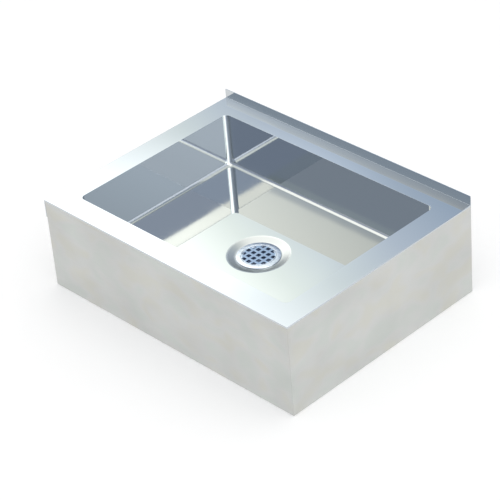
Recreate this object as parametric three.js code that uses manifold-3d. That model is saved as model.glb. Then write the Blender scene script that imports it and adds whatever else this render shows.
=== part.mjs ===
// Mop service sink: a floor-standing stainless sink with a flat rim, a low upstand at the wall,
// a coved bowl, four aprons down to the floor and a clamped drain with a lift-out strainer.
// Millimetres. X runs left to right, Y from the front to the wall, Z up from the floor.
// The origin is on the floor under the middle of the sink.

import * as THREE from 'three';
import { mergeVertices } from 'three/addons/utils/BufferGeometryUtils.js';
import Module from 'manifold-3d';

// ---------------------------------------------------------------- driving dimensions

const SINK_LENGTH = 838.2; // left to right over the rim, 33 in
const SINK_WIDTH = 635; // front of the rim to the wall, 25 in
const RIM_WIDTH = 63.5; // flat rim round the bowl opening, 2 1/2 in
const BOWL_DEPTH = 152.4; // rim to the bowl floor, 6 in
const DRAIN_SPACE = 101.6; // bowl floor to the floor of the room, 4 in
const UPSTAND_HEIGHT = 25.4; // upstand above the rim, 1 in
const SHEET = 1.5; // 16 gauge stainless sheet
const SEAM = 0.3; // clearance between pieces that touch

const DECK_BEND = 3; // outer radius of the rim's turned-down edges
const EDGE_DROP = 4; // how far the front and right edges turn down
const SIDE_LIP_DROP = 50; // the folded lip on the left side
const SIDE_LIP_FOLDS = 2; // sheets in that lip, folded flat on itself
const UPSTAND_BEND = 3; // inner radius between the rim and the upstand
const UPSTAND_CORNER = 4; // rounded top corners of the upstand
const OPENING_DROP = 8; // depth of the edge turned down into the bowl

const BOWL_CORNER = 22; // upright corners of the bowl, seen from above
const BOWL_COVE = 19; // cove between the bowl walls and its floor
const RECESS_RADIUS = 80; // stamped round recess at the drain
const RECESS_DEPTH = 6; // bowl floor down to the drain's seat
const SEAT_RADIUS = 60; // flat seat in the middle of the recess

const APRON_BEND = 2.5; // outer radius at the foot of an apron
const APRON_FLANGE = 20; // foot turned in under an apron
const ANGLE_WIDTH = 25; // each leg of the corner angles

const SUPPORT_TOP = 40; // width of a support's top
const SUPPORT_FOOT = 22; // width of each of its feet
const SUPPORT_DRAFT = 6; // how far its sides lean out
const PAD_LENGTH = 300; // damping pad, front to rear
const PAD_WIDTH = 90; // damping pad, left to right
const PAD_THICKNESS = 3;
const PAD_MARGIN = 23.6; // end cove of the bowl to the pad's outer edge
const PAD_CLEARANCE = 17; // pad to the side of the support

const STRAINER_RADIUS = 43.75; // plate over the drain
const STRAINER_THICKNESS = 2.5;
const STRAINER_PLAY = 0.5; // round the plate in its recess
const STRAINER_DROP = 3.1; // bowl floor down to the top of the plate
const HOLE_PITCH = 17.3; // square holes on a square grid
const HOLE_SIZE = 10.6; // side of a square hole
const HOLE_CORNER = 1.6; // rounded corners of a hole
const HOLE_ROWS = 5; // rows of the grid, which has no corner holes

const FLANGE_RADIUS = 57; // polished ring over the bowl's seat
const FLANGE_EDGE = 0.7; // thickness of the ring at its outer edge
const SEAL_THICKNESS = 0.8; // sealing ring between ring and bowl
const DRAIN_WALL = 2.2; // wall of the drain's cup
const LEDGE = 1.6; // metal round and under the strainer's ledge
const CUP_STEP = 3.4; // how far the cup steps in under that ledge
const CUP_DEPTH = 36; // ledge down to the cup's floor at its wall
const CUP_FALL = 6; // slope of the cup's floor to the outlet
const OUTLET_WALL = 5; // threaded wall of the outlet
const OUTLET_LENGTH = 14; // outlet below the cup's floor

const THREAD_CLEARANCE = 0.3; // plain clearance in place of a thread
const GASKET_THICKNESS = 3;
const GASKET_RADIUS = 56;
const FRICTION_THICKNESS = 1.2;
const LOCKNUT_THICKNESS = 10;
const LOCKNUT_RADIUS = 52;
const LOCKNUT_LUG = 6; // how far its lugs stand out
const LOCKNUT_LUG_WIDTH = 14;
const LOCKNUT_LUGS = 6;

const TAILPIECE_RADIUS = 19.05; // 1 1/2 in waste tube
const TAILPIECE_WALL = 1;
const TAILPIECE_FLARE = 4.2; // flange at its upper end
const TAILPIECE_LENGTH = 24; // flange to its open end
const WASHER_THICKNESS = 2;
const COUPLING_WALL = 4; // least wall of the coupling nut
const COUPLING_FLOOR = 3; // shoulder under the tube's flange
const COUPLING_GRIP = 10; // thread length over the outlet

// Facets of the round stretches.
const BEND_STEPS = 3;
const COVE_STEPS = 5;
const SIDE_STEPS = 7; // stretches along each straight side of the bowl
const ROUND_STEPS = 48;

// ---------------------------------------------------------------- sizes worked out from them

const DECK_HEIGHT = DRAIN_SPACE + BOWL_DEPTH; // 10 in
const LEFT = -SINK_LENGTH / 2;
const RIGHT = SINK_LENGTH / 2;
const FRONT = -SINK_WIDTH / 2;
const REAR = SINK_WIDTH / 2;
const DECK_UNDER = DECK_HEIGHT - SHEET;
const INNER_BEND = DECK_BEND - SHEET;

const SIDE_LIP = SIDE_LIP_FOLDS * SHEET;
const SIDE_LIP_BOTTOM = DECK_HEIGHT - SIDE_LIP_DROP;
const EDGE_BOTTOM = DECK_HEIGHT - EDGE_DROP;
const UPSTAND_TOP = DECK_HEIGHT + UPSTAND_HEIGHT;
const UPSTAND_OUTER_BEND = UPSTAND_BEND + SHEET;
const REAR_BEND_Y = REAR - UPSTAND_OUTER_BEND;
const REAR_BEND_Z = DECK_HEIGHT + UPSTAND_BEND;

const HALF_OPENING_X = SINK_LENGTH / 2 - RIM_WIDTH;
const HALF_OPENING_Y = SINK_WIDTH / 2 - RIM_WIDTH;
const OPENING_BOTTOM = DECK_HEIGHT - OPENING_DROP;
const FLOOR = DRAIN_SPACE;
const FLOOR_UNDER = FLOOR - SHEET;
const SEAT = FLOOR - RECESS_DEPTH;
const SEAT_UNDER = SEAT - SHEET;

// The aprons stand inside the left lip and flush with the other edges.
const APRON_LEFT = LEFT + SIDE_LIP + SEAM;

const STRAINER_TOP = FLOOR - STRAINER_DROP;
const STRAINER_UNDER = STRAINER_TOP - STRAINER_THICKNESS;
const LEDGE_TOP = STRAINER_UNDER - SEAM;
const LEDGE_UNDER = LEDGE_TOP - LEDGE;
const STRAINER_RECESS = STRAINER_RADIUS + STRAINER_PLAY;
const SHOULDER_RADIUS = STRAINER_RECESS + LEDGE;
const BOWL_HOLE = SHOULDER_RADIUS + SEAM;
const OUTLET_BORE = TAILPIECE_RADIUS;
const OUTLET_RADIUS = OUTLET_BORE + OUTLET_WALL;
const CUP_RADIUS = SHOULDER_RADIUS - CUP_STEP;
const CUP_BORE = CUP_RADIUS - DRAIN_WALL;
const FLANGE_UNDER = SEAT + SEAM + SEAL_THICKNESS + SEAM;
const CUP_FLOOR = LEDGE_TOP - CUP_DEPTH;
const OUTLET_TOP = CUP_FLOOR - CUP_FALL;
const OUTLET_END = OUTLET_TOP - OUTLET_LENGTH;

const GASKET_TOP = SEAT_UNDER - SEAM;
const FRICTION_TOP = GASKET_TOP - GASKET_THICKNESS - SEAM;
const LOCKNUT_TOP = FRICTION_TOP - FRICTION_THICKNESS - SEAM;
const NUT_BORE = CUP_RADIUS + THREAD_CLEARANCE;
const WASHER_TOP = OUTLET_END - SEAM;
const FLARE_TOP = WASHER_TOP - WASHER_THICKNESS - SEAM;
const COUPLING_BORE = OUTLET_RADIUS + THREAD_CLEARANCE;
const TAILPIECE_END = FLARE_TOP - TAILPIECE_LENGTH;

const PAD_X = HALF_OPENING_X - BOWL_COVE - PAD_MARGIN - PAD_WIDTH / 2;
const SUPPORT_REACH = SUPPORT_TOP / 2 + SUPPORT_DRAFT;
const SUPPORT_X = PAD_X - PAD_WIDTH / 2 - PAD_CLEARANCE - SUPPORT_REACH;

// ---------------------------------------------------------------- solids

const wasm = await Module();
wasm.setup();

// A closed mesh as a solid, turned right side out.
function solid(geometry) {
  const plain = geometry.clone();
  plain.deleteAttribute('normal');
  plain.deleteAttribute('uv');
  const merged = mergeVertices(plain, 1e-4);
  const vertProperties = new Float32Array(merged.attributes.position.array);
  const triVerts = new Uint32Array(merged.index.array);
  if (signedVolume(vertProperties, triVerts) < 0) {
    for (let i = 0; i < triVerts.length; i += 3) {
      const swap = triVerts[i];
      triVerts[i] = triVerts[i + 1];
      triVerts[i + 1] = swap;
    }
  }
  return new wasm.Manifold(new wasm.Mesh({ numProp: 3, vertProperties, triVerts }));
}

function signedVolume(points, triangles) {
  const [a, b, c] = [new THREE.Vector3(), new THREE.Vector3(), new THREE.Vector3()];
  let sum = 0;
  for (let i = 0; i < triangles.length; i += 3) {
    a.fromArray(points, 3 * triangles[i]);
    b.fromArray(points, 3 * triangles[i + 1]);
    c.fromArray(points, 3 * triangles[i + 2]);
    sum += a.dot(b.cross(c));
  }
  return sum / 6;
}

function geometryOf(body) {
  const mesh = body.getMesh();
  const geometry = new THREE.BufferGeometry();
  geometry.setAttribute('position', new THREE.BufferAttribute(mesh.vertProperties, 3));
  geometry.setIndex(new THREE.BufferAttribute(mesh.triVerts, 1));
  geometry.computeVertexNormals();
  return geometry;
}

// A block between two corners.
function block(low, high) {
  const size = high.map((value, i) => value - low[i]);
  const geometry = new THREE.BoxGeometry(...size);
  geometry.translate(...low.map((value, i) => value + size[i] / 2));
  return solid(geometry);
}

// A shape drawn in the X-Y plane, raised along Z.
function raised(shape, bottom, top) {
  const geometry = new THREE.ExtrudeGeometry(shape, {
    depth: top - bottom,
    bevelEnabled: false,
    curveSegments: BEND_STEPS,
  });
  geometry.translate(0, 0, bottom);
  return solid(geometry);
}

// A section drawn as (y, z), run along X.
function alongX(section, from, to) {
  const geometry = new THREE.ExtrudeGeometry(section, {
    depth: to - from,
    bevelEnabled: false,
    curveSegments: BEND_STEPS,
  });
  const axes = new THREE.Matrix4().makeBasis(
    new THREE.Vector3(0, 1, 0),
    new THREE.Vector3(0, 0, 1),
    new THREE.Vector3(1, 0, 0),
  );
  geometry.applyMatrix4(axes);
  geometry.translate(from, 0, 0);
  return solid(geometry);
}

// A section drawn as (x, z), run along Y.
function alongY(section, from, to) {
  const geometry = new THREE.ExtrudeGeometry(section, {
    depth: to - from,
    bevelEnabled: false,
    curveSegments: BEND_STEPS,
  });
  geometry.rotateX(Math.PI / 2);
  geometry.translate(0, to, 0);
  return solid(geometry);
}

// A profile of (radius, z) points turned round the Z axis.
function turned(profile, steps = ROUND_STEPS) {
  const points = [...profile, profile[0]].map(([radius, z]) => new THREE.Vector2(radius, z));
  const geometry = new THREE.LatheGeometry(points, steps);
  geometry.rotateX(Math.PI / 2);
  return solid(geometry);
}

// Points on an arc about (x, y), from one angle to another in degrees.
function arc(x, y, radius, from, to, steps = BEND_STEPS) {
  return Array.from({ length: steps + 1 }, (_, i) => {
    const angle = THREE.MathUtils.degToRad(from + ((to - from) * i) / steps);
    return [x + radius * Math.cos(angle), y + radius * Math.sin(angle)];
  });
}

function outline(points) {
  return new THREE.Shape(points.map(([x, y]) => new THREE.Vector2(x, y)));
}

// The bowl opening's outline, moved outwards by an offset: rounded corners joined by straight
// sides, with the same number of points at every offset.
function openingOutline(offset) {
  const corner = Math.max(BOWL_CORNER + offset, BOWL_CORNER / 10);
  const x = HALF_OPENING_X + offset - corner;
  const y = HALF_OPENING_Y + offset - corner;
  const centres = [[x, y, 0], [-x, y, 90], [-x, -y, 180], [x, -y, 270]];
  return centres.map(([cx, cy, start]) => arc(cx, cy, corner, start, start + 90, COVE_STEPS));
}

// That outline as one ring of points at a height, with extra points along the sides.
function bowlRing(offset, z) {
  const corners = openingOutline(offset);
  const ring = [];
  corners.forEach((points, i) => {
    const next = corners[(i + 1) % corners.length][0];
    const last = points.at(-1);
    ring.push(...points);
    for (let k = 1; k < SIDE_STEPS; k += 1) {
      const share = k / SIDE_STEPS;
      ring.push([last[0] + (next[0] - last[0]) * share, last[1] + (next[1] - last[1]) * share]);
    }
  });
  return ring.map(([px, py]) => [px, py, z]);
}

// A circle with as many points as a bowl ring, its diagonals in line with the bowl's corners.
function drainRing(radius, z) {
  const quarter = COVE_STEPS + SIDE_STEPS;
  return Array.from({ length: 4 * quarter }, (_, i) => {
    const angle = Math.PI / 4 + ((i - COVE_STEPS / 2) / quarter) * (Math.PI / 2);
    return [radius * Math.cos(angle), radius * Math.sin(angle), z];
  });
}

// Skins a stack of rings whose last ring joins back to the first.
function loopOfRings(rings) {
  const count = rings[0].length;
  const geometry = new THREE.BufferGeometry();
  const positions = rings.flat(2);
  const index = [];
  rings.forEach((_, r) => {
    const below = r * count;
    const above = ((r + 1) % rings.length) * count;
    for (let i = 0; i < count; i += 1) {
      const j = (i + 1) % count;
      index.push(below + i, below + j, above + j);
      index.push(below + i, above + j, above + i);
    }
  });
  geometry.setAttribute('position', new THREE.Float32BufferAttribute(positions, 3));
  geometry.setIndex(index);
  return solid(geometry);
}

// ---------------------------------------------------------------- rim

// The rim's sheet with its front, left and right edges turned down.
function deckShell() {
  const past = APRON_FLANGE;
  const outerSide = outline([
    [FRONT, SIDE_LIP_BOTTOM],
    ...arc(FRONT + DECK_BEND, DECK_HEIGHT - DECK_BEND, DECK_BEND, 180, 90),
    [REAR_BEND_Y, DECK_HEIGHT],
    [REAR_BEND_Y, SIDE_LIP_BOTTOM],
  ]);
  const outerFront = outline([
    [LEFT, SIDE_LIP_BOTTOM],
    ...arc(LEFT + DECK_BEND, DECK_HEIGHT - DECK_BEND, DECK_BEND, 180, 90),
    ...arc(RIGHT - DECK_BEND, DECK_HEIGHT - DECK_BEND, DECK_BEND, 90, 0),
    [RIGHT, SIDE_LIP_BOTTOM],
  ]);
  const innerSide = outline([
    [FRONT + SHEET, SIDE_LIP_BOTTOM - past],
    ...arc(FRONT + DECK_BEND, DECK_HEIGHT - DECK_BEND, INNER_BEND, 180, 90),
    [REAR + past, DECK_UNDER],
    [REAR + past, SIDE_LIP_BOTTOM - past],
  ]);
  const innerFront = outline([
    [LEFT + SIDE_LIP, SIDE_LIP_BOTTOM - past],
    [LEFT + SIDE_LIP, DECK_UNDER],
    ...arc(RIGHT - DECK_BEND, DECK_HEIGHT - DECK_BEND, INNER_BEND, 90, 0),
    [RIGHT - SHEET, SIDE_LIP_BOTTOM - past],
  ]);
  const outer = alongX(outerSide, LEFT, RIGHT).intersect(alongY(outerFront, FRONT, REAR));
  const inner = alongX(innerSide, LEFT - past, RIGHT + past)
    .intersect(alongY(innerFront, FRONT - past, REAR + past));
  const belowFront = block(
    [LEFT + SIDE_LIP, FRONT - past, SIDE_LIP_BOTTOM - past],
    [RIGHT + past, FRONT + past, EDGE_BOTTOM],
  );
  const belowRight = block(
    [RIGHT - past, FRONT - past, SIDE_LIP_BOTTOM - past],
    [RIGHT + past, REAR + past, EDGE_BOTTOM],
  );
  return outer.subtract(inner).subtract(belowFront).subtract(belowRight);
}

// The upstand with the bend that joins it to the rim.
function upstand() {
  const section = outline([
    [REAR_BEND_Y - SHEET, DECK_UNDER],
    ...arc(REAR_BEND_Y, REAR_BEND_Z, UPSTAND_OUTER_BEND, 270, 360),
    [REAR, UPSTAND_TOP],
    [REAR - SHEET, UPSTAND_TOP],
    ...arc(REAR_BEND_Y, REAR_BEND_Z, UPSTAND_BEND, 360, 270),
    [REAR_BEND_Y - SHEET, DECK_HEIGHT],
  ]);
  const corner = UPSTAND_CORNER;
  const face = outline([
    [LEFT, SIDE_LIP_BOTTOM],
    ...arc(LEFT + corner, UPSTAND_TOP - corner, corner, 180, 90),
    ...arc(RIGHT - corner, UPSTAND_TOP - corner, corner, 90, 0),
    [RIGHT, SIDE_LIP_BOTTOM],
  ]);
  return alongX(section, LEFT, RIGHT).intersect(alongY(face, FRONT, REAR + SHEET));
}

// The edge turned down into the bowl.
function openingEdge() {
  const reach = DECK_BEND + SHEET;
  const section = [
    [0, OPENING_BOTTOM],
    ...arc(DECK_BEND, DECK_HEIGHT - DECK_BEND, DECK_BEND, 180, 90),
    [reach, DECK_HEIGHT],
    [reach, DECK_UNDER],
    ...arc(DECK_BEND, DECK_HEIGHT - DECK_BEND, INNER_BEND, 90, 180),
    [SHEET, OPENING_BOTTOM],
  ];
  return loopOfRings(section.map(([offset, z]) => bowlRing(offset, z)));
}

function deckBody() {
  const cut = raised(
    outline(openingOutline(DECK_BEND + SHEET / 2).flat()),
    DECK_UNDER - SHEET,
    DECK_HEIGHT + SHEET,
  );
  const leftEnd = block(
    [LEFT, REAR_BEND_Y - SHEET, SIDE_LIP_BOTTOM],
    [LEFT + SIDE_LIP, REAR, REAR_BEND_Z],
  );
  const rightEnd = block(
    [RIGHT - SHEET, REAR_BEND_Y - SHEET, EDGE_BOTTOM],
    [RIGHT, REAR - SHEET - SEAM, REAR_BEND_Z],
  );
  return deckShell().subtract(cut).add(openingEdge()).add(upstand()).add(leftEnd).add(rightEnd);
}

// ---------------------------------------------------------------- aprons and corner angles

// An apron's section: distance in from its outer face, and height.
function apronSection(top) {
  const bend = APRON_BEND;
  return [
    [0, top],
    ...arc(bend, bend, bend, 180, 270),
    [APRON_FLANGE + SHEET, 0],
    [APRON_FLANGE + SHEET, SHEET],
    ...arc(bend, bend, bend - SHEET, 270, 180),
    [SHEET, top],
  ];
}

// Both aprons at a corner are mitred at 45 degrees, each half a seam back from it.
const MITRE_BACK = (SEAM / 2) * Math.SQRT2;
const MITRE_DEPTH = 2 * (APRON_FLANGE + SHEET);

function frontOrRearApron(face, inwards, top) {
  const section = apronSection(top).map(([depth, z]) => [face + inwards * depth, z]);
  const [a, b] = [APRON_LEFT + MITRE_BACK, RIGHT - MITRE_BACK];
  const deep = MITRE_DEPTH;
  const plan = outline([
    [a, face],
    [b, face],
    [b - deep, face + inwards * deep],
    [a + deep, face + inwards * deep],
  ]);
  return alongX(outline(section), APRON_LEFT, RIGHT).intersect(raised(plan, 0, DECK_HEIGHT));
}

function sideApron(face, inwards, top) {
  const section = apronSection(top).map(([depth, z]) => [face + inwards * depth, z]);
  const [a, b] = [FRONT + MITRE_BACK, REAR - MITRE_BACK];
  const deep = MITRE_DEPTH;
  const plan = outline([
    [face, a],
    [face, b],
    [face + inwards * deep, b - deep],
    [face + inwards * deep, a + deep],
  ]);
  return alongY(outline(section), FRONT, REAR).intersect(raised(plan, 0, DECK_HEIGHT));
}

// The rear apron rises into the hollow of the upstand's bend.
function rearApronTop() {
  const reach = UPSTAND_OUTER_BEND + SEAM;
  const across = REAR - SHEET - REAR_BEND_Y;
  return REAR_BEND_Z - Math.sqrt(reach * reach - across * across);
}

// An angle in a corner: x and y are the aprons' inner faces, the signs point into the sink.
function cornerAngle(x, y, intoX, intoY) {
  const [nearX, nearY] = [x + intoX * SEAM, y + intoY * SEAM];
  const bottom = Math.max(APRON_BEND, SHEET) + SHEET;
  const top = DECK_HEIGHT - DECK_BEND - SEAM;
  const plan = outline([
    [nearX, nearY],
    [nearX + intoX * ANGLE_WIDTH, nearY],
    [nearX + intoX * ANGLE_WIDTH, nearY + intoY * SHEET],
    [nearX + intoX * SHEET, nearY + intoY * SHEET],
    [nearX + intoX * SHEET, nearY + intoY * ANGLE_WIDTH],
    [nearX, nearY + intoY * ANGLE_WIDTH],
  ]);
  return raised(plan, bottom, top);
}

// ---------------------------------------------------------------- bowl

function bowlBody() {
  const top = OPENING_BOTTOM - SEAM;
  const cove = arc(BOWL_COVE, FLOOR + BOWL_COVE, BOWL_COVE, 180, 270, COVE_STEPS);
  const outerCove = arc(BOWL_COVE, FLOOR + BOWL_COVE, BOWL_COVE + SHEET, 270, 180, COVE_STEPS);
  return loopOfRings([
    bowlRing(0, top),
    ...cove.map(([inset, z]) => bowlRing(-inset, z)),
    drainRing(RECESS_RADIUS, FLOOR),
    drainRing(SEAT_RADIUS, SEAT),
    drainRing(BOWL_HOLE, SEAT),
    drainRing(BOWL_HOLE, SEAT_UNDER),
    drainRing(SEAT_RADIUS + SHEET / 2, SEAT_UNDER),
    drainRing(RECESS_RADIUS + SHEET / 2, FLOOR_UNDER),
    ...outerCove.map(([inset, z]) => bowlRing(-inset, z)),
    bowlRing(SHEET, top),
  ]);
}

// A hat channel under the bowl floor, standing on its two feet.
function supportBody(x) {
  const top = FLOOR_UNDER - SEAM;
  const halfTop = SUPPORT_TOP / 2;
  const halfBase = SUPPORT_REACH;
  const half = [
    [halfTop, top],
    [halfBase, SHEET],
    [halfBase + SUPPORT_FOOT, SHEET],
    [halfBase + SUPPORT_FOOT, 0],
    [halfBase - SHEET, 0],
    [halfTop - SHEET, top - SHEET],
  ];
  const mirrored = half.map(([dx, z]) => [-dx, z]).reverse();
  const section = outline([...half, ...mirrored].map(([dx, z]) => [x + dx, z]));
  const end = SINK_WIDTH / 2 - SHEET - APRON_FLANGE - SEAM;
  return alongY(section, -end, end);
}

// A damping pad stuck under the bowl floor.
function padBody(x) {
  const top = FLOOR_UNDER - SEAM;
  return block(
    [x - PAD_WIDTH / 2, -PAD_LENGTH / 2, top - PAD_THICKNESS],
    [x + PAD_WIDTH / 2, PAD_LENGTH / 2, top],
  );
}

// ---------------------------------------------------------------- drain

// Flange, cup with its ledge, sloping floor and threaded outlet in one turned body.
function drainBody() {
  const edgeTop = FLANGE_UNDER + FLANGE_EDGE;
  const crown = Array.from({ length: BEND_STEPS + 1 }, (_, i) => {
    const share = i / BEND_STEPS;
    const radius = FLANGE_RADIUS + (STRAINER_RECESS - FLANGE_RADIUS) * share;
    const rise = Math.sin((share * Math.PI) / 2) * (STRAINER_TOP - edgeTop);
    return [radius, edgeTop + rise];
  });
  return turned([
    [SHOULDER_RADIUS, FLANGE_UNDER],
    [FLANGE_RADIUS, FLANGE_UNDER],
    ...crown,
    [STRAINER_RECESS, LEDGE_TOP],
    [CUP_BORE, LEDGE_TOP],
    [CUP_BORE, CUP_FLOOR],
    [OUTLET_BORE, OUTLET_TOP],
    [OUTLET_BORE, OUTLET_END],
    [OUTLET_RADIUS, OUTLET_END],
    [OUTLET_RADIUS, OUTLET_TOP - DRAIN_WALL],
    [CUP_RADIUS, CUP_FLOOR - DRAIN_WALL],
    [CUP_RADIUS, LEDGE_UNDER],
    [SHOULDER_RADIUS, LEDGE_UNDER],
  ]);
}

// The lift-out plate: square holes on a grid without its corners, trimmed to the cup's bore.
function strainerBody() {
  const plate = new THREE.CylinderGeometry(
    STRAINER_RADIUS, STRAINER_RADIUS, STRAINER_THICKNESS, ROUND_STEPS,
  );
  plate.rotateX(Math.PI / 2);
  plate.translate(0, 0, STRAINER_TOP - STRAINER_THICKNESS / 2);
  const field = new THREE.CylinderGeometry(
    CUP_BORE, CUP_BORE, 3 * STRAINER_THICKNESS, ROUND_STEPS,
  );
  field.rotateX(Math.PI / 2);
  field.translate(0, 0, STRAINER_TOP - STRAINER_THICKNESS / 2);
  const last = (HOLE_ROWS - 1) / 2;
  const straight = HOLE_SIZE / 2 - HOLE_CORNER;
  let holes = null;
  for (let row = -last; row <= last; row += 1) {
    for (let column = -last; column <= last; column += 1) {
      if (Math.abs(row) === last && Math.abs(column) === last) continue;
      const [x, y] = [column * HOLE_PITCH, row * HOLE_PITCH];
      const corners = [[1, 1, 0], [-1, 1, 90], [-1, -1, 180], [1, -1, 270]];
      const square = corners.flatMap(([sx, sy, start]) => arc(
        x + sx * straight, y + sy * straight, HOLE_CORNER, start, start + 90, 2,
      ));
      const hole = raised(
        outline(square),
        STRAINER_UNDER - STRAINER_THICKNESS,
        STRAINER_TOP + STRAINER_THICKNESS,
      );
      holes = holes ? holes.add(hole) : hole;
    }
  }
  return solid(plate).subtract(holes.intersect(solid(field)));
}

// A flat ring between two radii.
function ringBody(inner, outer, top, thickness) {
  return turned([[inner, top], [outer, top], [outer, top - thickness], [inner, top - thickness]]);
}

// A round nut with square lugs for a spanner.
function locknutBody() {
  const bottom = LOCKNUT_TOP - LOCKNUT_THICKNESS;
  let nut = turned([
    [NUT_BORE - DRAIN_WALL, LOCKNUT_TOP],
    [LOCKNUT_RADIUS, LOCKNUT_TOP],
    [LOCKNUT_RADIUS, bottom],
    [NUT_BORE - DRAIN_WALL, bottom],
  ]);
  for (let i = 0; i < LOCKNUT_LUGS; i += 1) {
    const lug = new THREE.BoxGeometry(
      LOCKNUT_LUG + SHEET, LOCKNUT_LUG_WIDTH, LOCKNUT_THICKNESS,
    );
    lug.translate(
      LOCKNUT_RADIUS - SHEET + (LOCKNUT_LUG + SHEET) / 2, 0, (LOCKNUT_TOP + bottom) / 2,
    );
    lug.rotateZ((i * 2 * Math.PI) / LOCKNUT_LUGS);
    nut = nut.add(solid(lug));
  }
  const bore = new THREE.CylinderGeometry(
    NUT_BORE, NUT_BORE, 3 * LOCKNUT_THICKNESS, ROUND_STEPS,
  );
  bore.rotateX(Math.PI / 2);
  bore.translate(0, 0, (LOCKNUT_TOP + bottom) / 2);
  return nut.subtract(solid(bore));
}

// The 1 1/2 in tube with the flange that the coupling nut pulls up.
function tailpieceBody() {
  const bore = TAILPIECE_RADIUS - TAILPIECE_WALL;
  const flare = TAILPIECE_RADIUS + TAILPIECE_FLARE;
  return turned([
    [bore, FLARE_TOP],
    [flare, FLARE_TOP],
    [flare, FLARE_TOP - TAILPIECE_WALL],
    [TAILPIECE_RADIUS, FLARE_TOP - TAILPIECE_WALL],
    [TAILPIECE_RADIUS, TAILPIECE_END],
    [bore, TAILPIECE_END],
  ]);
}

// A six-sided nut over the outlet, with a shoulder under the tube's flange.
function couplingNutBody() {
  const shoulder = FLARE_TOP - TAILPIECE_WALL - SEAM;
  const bottom = shoulder - COUPLING_FLOOR;
  const top = OUTLET_END + COUPLING_GRIP;
  const across = (COUPLING_BORE + COUPLING_WALL) / Math.cos(Math.PI / 6);
  const hexagon = new THREE.CylinderGeometry(across, across, top - bottom, 6);
  hexagon.rotateX(Math.PI / 2);
  hexagon.translate(0, 0, (top + bottom) / 2);
  const past = COUPLING_FLOOR;
  const bore = turned([
    [0, top + past],
    [COUPLING_BORE, top + past],
    [COUPLING_BORE, shoulder],
    [TAILPIECE_RADIUS + SEAM, shoulder],
    [TAILPIECE_RADIUS + SEAM, bottom - past],
    [0, bottom - past],
  ]);
  return solid(hexagon).subtract(bore);
}

// ---------------------------------------------------------------- assembly

const POLISHED = { color: 0xc9d3dc, roughness: 0.06, metalness: 1 };
const SATIN = { color: 0xc6c8c5, roughness: 0.4, metalness: 1 };
const DRAIN_STEEL = { color: 0xb9c4d0, roughness: 0.15, metalness: 1 };
const MILL = { color: 0xa9abab, roughness: 0.5, metalness: 1 };
const BRASS = { color: 0xb89a5a, roughness: 0.35, metalness: 1 };
const RUBBER = { color: 0x2b2c2e, roughness: 0.8, metalness: 0 };
const FIBRE = { color: 0x8a4b38, roughness: 0.9, metalness: 0 };
const PUTTY = { color: 0x7d7f7c, roughness: 0.9, metalness: 0 };

const sink = new THREE.Group();

function place(group, name, body, finish) {
  const mesh = new THREE.Mesh(geometryOf(body), new THREE.MeshStandardMaterial(finish));
  mesh.name = name;
  group.add(mesh);
}

const sheets = new THREE.Group();
place(sheets, 'deck', deckBody(), POLISHED);
place(sheets, 'bowl', bowlBody(), POLISHED);
const lowTop = EDGE_BOTTOM - SEAM;
place(sheets, 'front_apron', frontOrRearApron(FRONT, 1, lowTop), SATIN);
place(sheets, 'rear_apron', frontOrRearApron(REAR, -1, rearApronTop()), SATIN);
place(sheets, 'left_apron', sideApron(APRON_LEFT, 1, lowTop), SATIN);
place(sheets, 'right_apron', sideApron(RIGHT, -1, lowTop), SATIN);
sink.add(sheets);

const frame = new THREE.Group();
const [insideLeft, insideRight] = [APRON_LEFT + SHEET, RIGHT - SHEET];
const [insideFront, insideRear] = [FRONT + SHEET, REAR - SHEET];
place(frame, 'corner_angle_front_left', cornerAngle(insideLeft, insideFront, 1, 1), MILL);
place(frame, 'corner_angle_front_right', cornerAngle(insideRight, insideFront, -1, 1), MILL);
place(frame, 'corner_angle_rear_left', cornerAngle(insideLeft, insideRear, 1, -1), MILL);
place(frame, 'corner_angle_rear_right', cornerAngle(insideRight, insideRear, -1, -1), MILL);
place(frame, 'bowl_support_left', supportBody(-SUPPORT_X), MILL);
place(frame, 'bowl_support_right', supportBody(SUPPORT_X), MILL);
place(frame, 'sound_pad_left', padBody(-PAD_X), RUBBER);
place(frame, 'sound_pad_right', padBody(PAD_X), RUBBER);
sink.add(frame);

const drain = new THREE.Group();
place(drain, 'drain_body', drainBody(), DRAIN_STEEL);
place(drain, 'strainer', strainerBody(), DRAIN_STEEL);
const sealTop = FLANGE_UNDER - SEAM;
place(drain, 'drain_seal', ringBody(BOWL_HOLE, GASKET_RADIUS, sealTop, SEAL_THICKNESS), PUTTY);
place(
  drain, 'drain_gasket', ringBody(NUT_BORE, GASKET_RADIUS, GASKET_TOP, GASKET_THICKNESS), RUBBER,
);
place(
  drain, 'friction_washer',
  ringBody(NUT_BORE, GASKET_RADIUS, FRICTION_TOP, FRICTION_THICKNESS), FIBRE,
);
place(drain, 'drain_locknut', locknutBody(), BRASS);
place(
  drain, 'tailpiece_washer',
  ringBody(TAILPIECE_RADIUS, TAILPIECE_RADIUS + TAILPIECE_FLARE, WASHER_TOP, WASHER_THICKNESS),
  RUBBER,
);
place(drain, 'coupling_nut', couplingNutBody(), BRASS);
place(drain, 'tailpiece', tailpieceBody(), DRAIN_STEEL);
sink.add(drain);

export default sink;
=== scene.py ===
"""Mop service sink: the visual pieces, their finishes and a plain studio, in metres."""

from math import atan2, cos, hypot, pi, radians, sin

import bmesh
import bpy
from bpy.props import FloatProperty, FloatVectorProperty, IntProperty, PointerProperty
from mathutils import Matrix, Vector


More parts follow.
